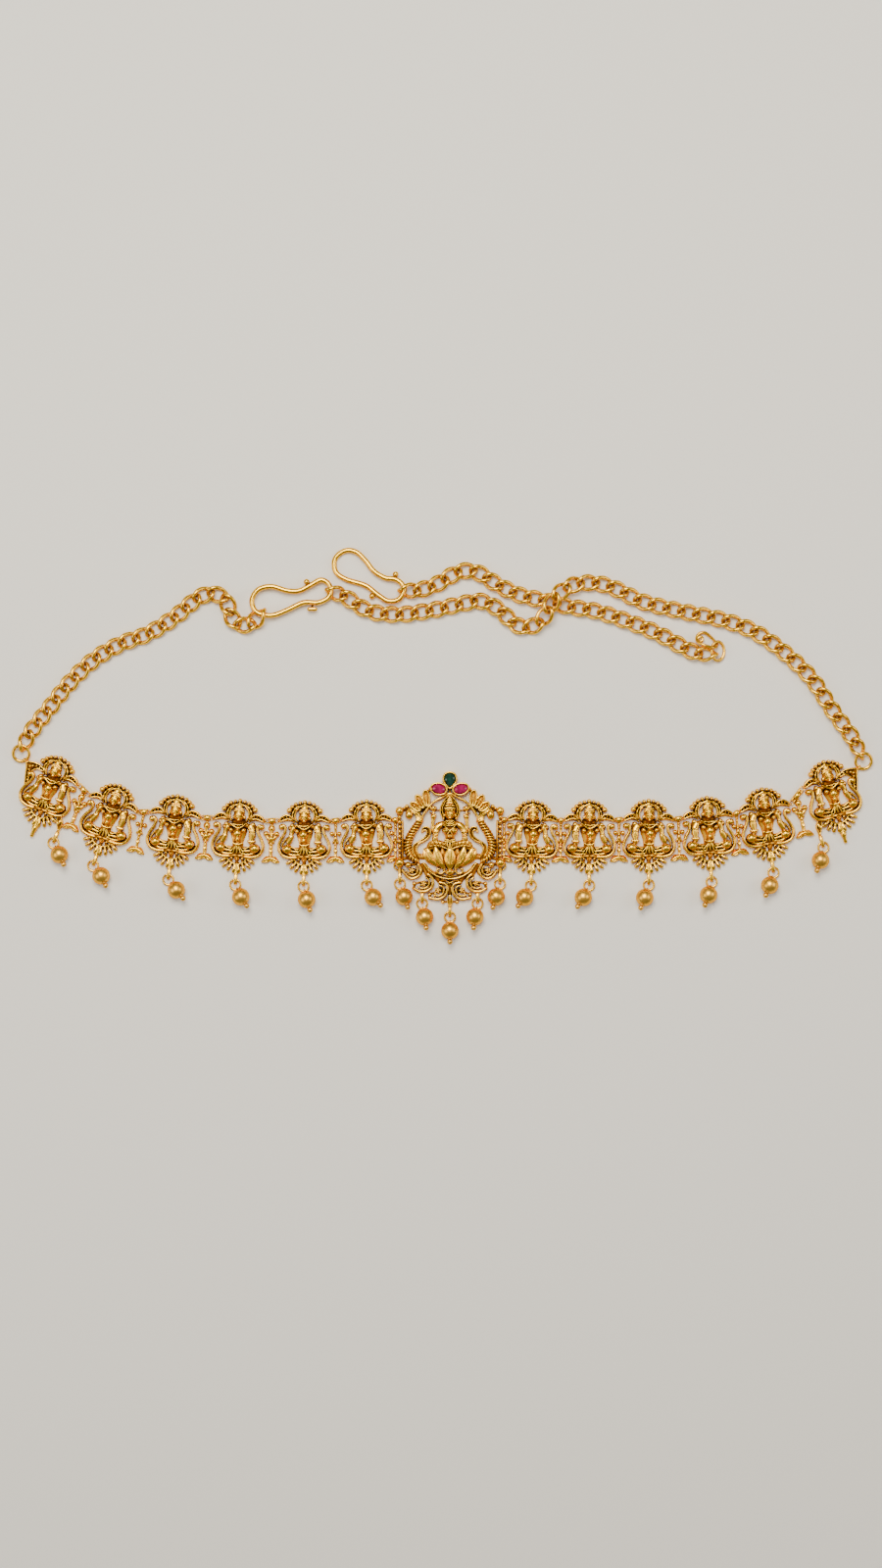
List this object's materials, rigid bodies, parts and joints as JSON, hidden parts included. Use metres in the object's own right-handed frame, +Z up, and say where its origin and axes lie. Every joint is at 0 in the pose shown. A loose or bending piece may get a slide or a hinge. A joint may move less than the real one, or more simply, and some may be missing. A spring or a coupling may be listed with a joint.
{
  "type": "hip chain",
  "caption": "Antique gold hip chain of cast figure plaques with ball drops round a stone-topped pendant, closed by a curb chain with S-hooks and a loose extender.",
  "frame": {"origin": "on the surface it lies on, under the middle of the whole laid-out piece", "axes": "+X along the plaques to the viewer's right, +Y from the plaques towards the chain's hooks, +Z up from the surface"},
  "size_m": [0.3508, 0.1609, 0.0071],
  "materials": {
    "antique_gold": "cast and gold plated, polished on the high spots, with a dark antique finish in the recesses",
    "green_stone": "cut and polished dark green stone with a table",
    "pink_stone": "cut and polished ruby pink stone with a table"
  },
  "bodies": {
    "root": {"pendant": "antique_gold", "stone_green": "green_stone", "stone_ruby_left": "pink_stone", "stone_ruby_right": "pink_stone", "plaque_l1": "antique_gold", "plaque_l2": "antique_gold", "plaque_l3": "antique_gold", "plaque_l4": "antique_gold", "plaque_l5": "antique_gold", "plaque_l6": "antique_gold", "plaque_r1": "antique_gold", "plaque_r2": "antique_gold", "plaque_r3": "antique_gold", "plaque_r4": "antique_gold", "plaque_r5": "antique_gold", "plaque_r6": "antique_gold", "connector_l1": "antique_gold", "connector_l2": "antique_gold", "connector_l3": "antique_gold", "connector_l4": "antique_gold", "connector_l5": "antique_gold", "connector_l6": "antique_gold", "connector_r1": "antique_gold", "connector_r2": "antique_gold", "connector_r3": "antique_gold", "connector_r4": "antique_gold", "connector_r5": "antique_gold", "connector_r6": "antique_gold", "ball_l1": "antique_gold", "ball_l2": "antique_gold", "ball_l3": "antique_gold", "ball_l4": "antique_gold", "ball_l5": "antique_gold", "ball_l6": "antique_gold", "ball_r1": "antique_gold", "ball_r2": "antique_gold", "ball_r3": "antique_gold", "ball_r4": "antique_gold", "ball_r5": "antique_gold", "ball_r6": "antique_gold", "ball_c1": "antique_gold", "ball_c2": "antique_gold", "ball_c3": "antique_gold", "ball_c4": "antique_gold", "ball_c5": "antique_gold", "jump_rings": "antique_gold", "end_ring_left": "antique_gold", "end_ring_right": "antique_gold", "hook_fastened": "antique_gold", "hook_free": "antique_gold", "chain_left": "antique_gold", "chain_right": "antique_gold", "chain_extender": "antique_gold", "extender_rings": "antique_gold"}
  },
  "joints": []
}
